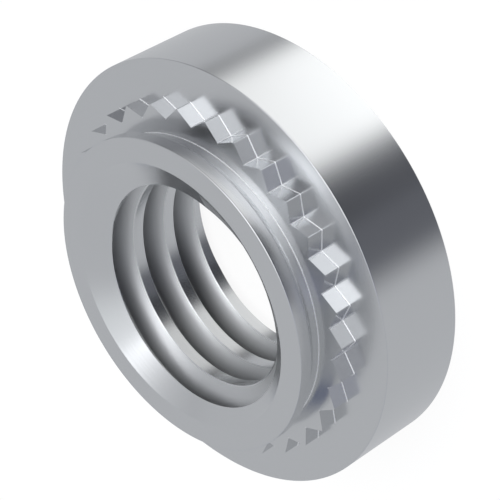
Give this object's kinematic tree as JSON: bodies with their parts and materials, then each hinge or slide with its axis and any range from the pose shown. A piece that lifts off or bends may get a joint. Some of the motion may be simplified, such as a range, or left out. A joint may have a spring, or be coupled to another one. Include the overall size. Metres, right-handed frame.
{
  "type": "self clinching nut",
  "caption": "Self-clinching nut for sheet metal: round head, knurled ring, undercut and pilot round a countersunk M5 bore.",
  "frame": {"origin": "centre of the head's flat back face, on which the nut stands", "axes": "+Z along the bore axis, from the back of the head to the pilot; one knurl tooth points along +X"},
  "size_m": [0.0086, 0.0086, 0.0028],
  "materials": {
    "plated_steel": "bright plated, smooth"
  },
  "bodies": {
    "root": {"nut": "plated_steel"}
  },
  "joints": []
}
